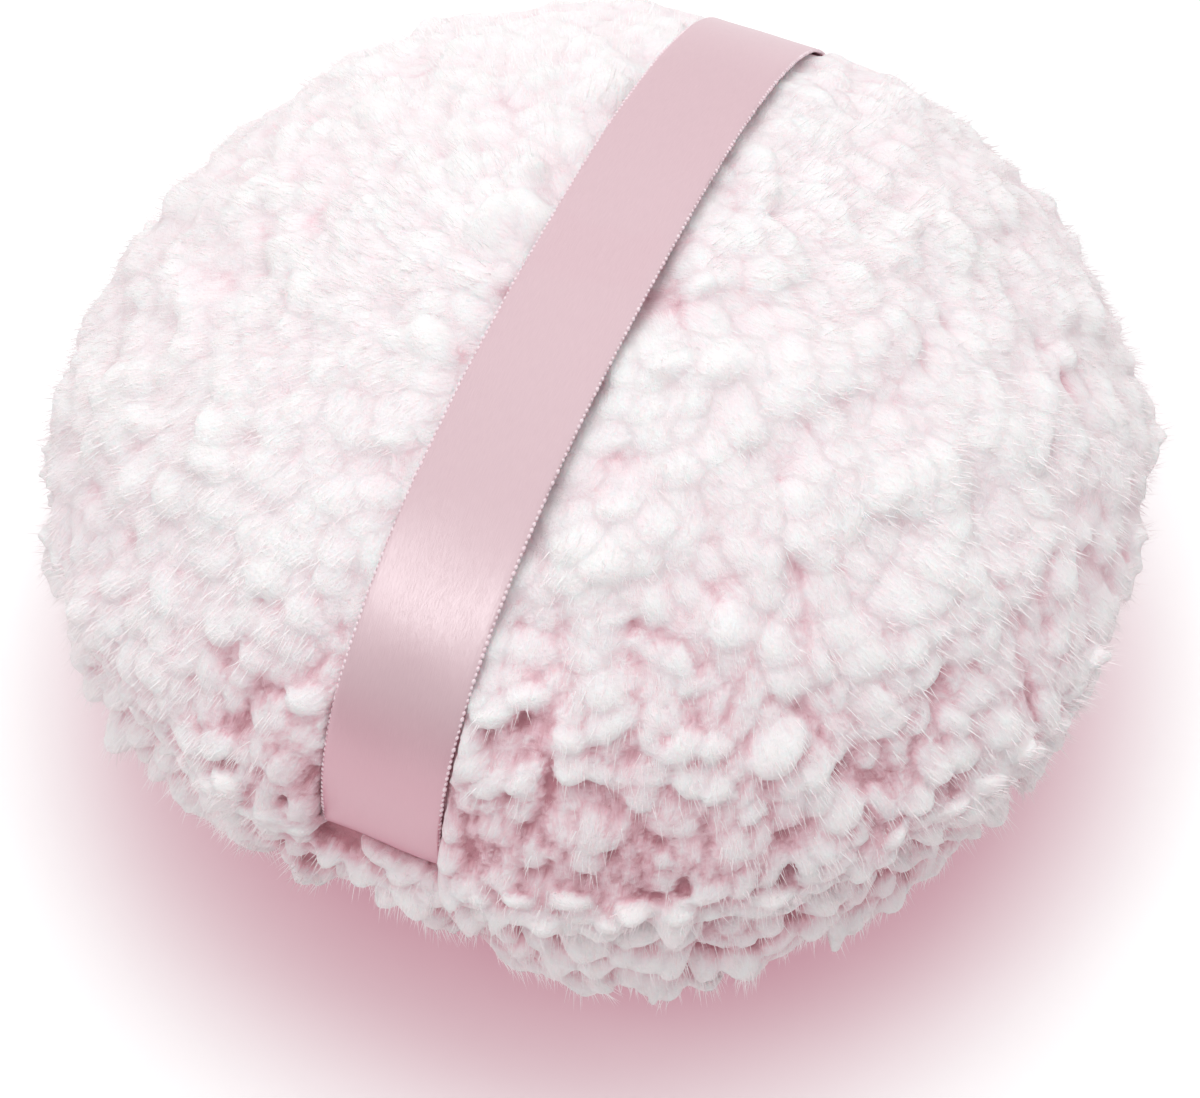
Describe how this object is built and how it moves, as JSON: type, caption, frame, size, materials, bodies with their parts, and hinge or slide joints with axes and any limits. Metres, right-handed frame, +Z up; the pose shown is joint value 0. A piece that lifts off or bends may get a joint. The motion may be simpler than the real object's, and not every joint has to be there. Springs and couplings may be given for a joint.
{
  "type": "powder puff",
  "caption": "Round plush powder puff: fleece covers sewn face to face over a sponge disc, with a satin ribbon over the crown that lifts as a finger strap.",
  "frame": {"origin": "centre of the flat resting face, on the surface that the puff stands on", "axes": "+Z up out of the table through the crown, Y along the ribbon with its pictured end at -Y, X across the ribbon"},
  "size_m": [0.0942, 0.092, 0.0498],
  "materials": {
    "fleece": "matte",
    "sponge": "matte",
    "satin": "satin",
    "thread": "matte"
  },
  "bodies": {
    "puff": {"top_cover": "fleece", "bottom_cover": "fleece", "foam_core": "sponge", "seam_needle_thread": "thread", "seam_bobbin_thread": "thread", "closing_thread": "thread", "front_tack_thread": "thread", "back_tack_thread": "thread"},
    "ribbon_span": {"ribbon": "satin"}
  },
  "joints": [
    {"name": "ribbon_lift", "type": "slide", "parent": "puff", "child": "ribbon_span", "axis": [0, 0, 1], "range_m": [0, 0.008], "stiffness_N_per_m": 5, "deforming": ["ribbon"]}
  ]
}
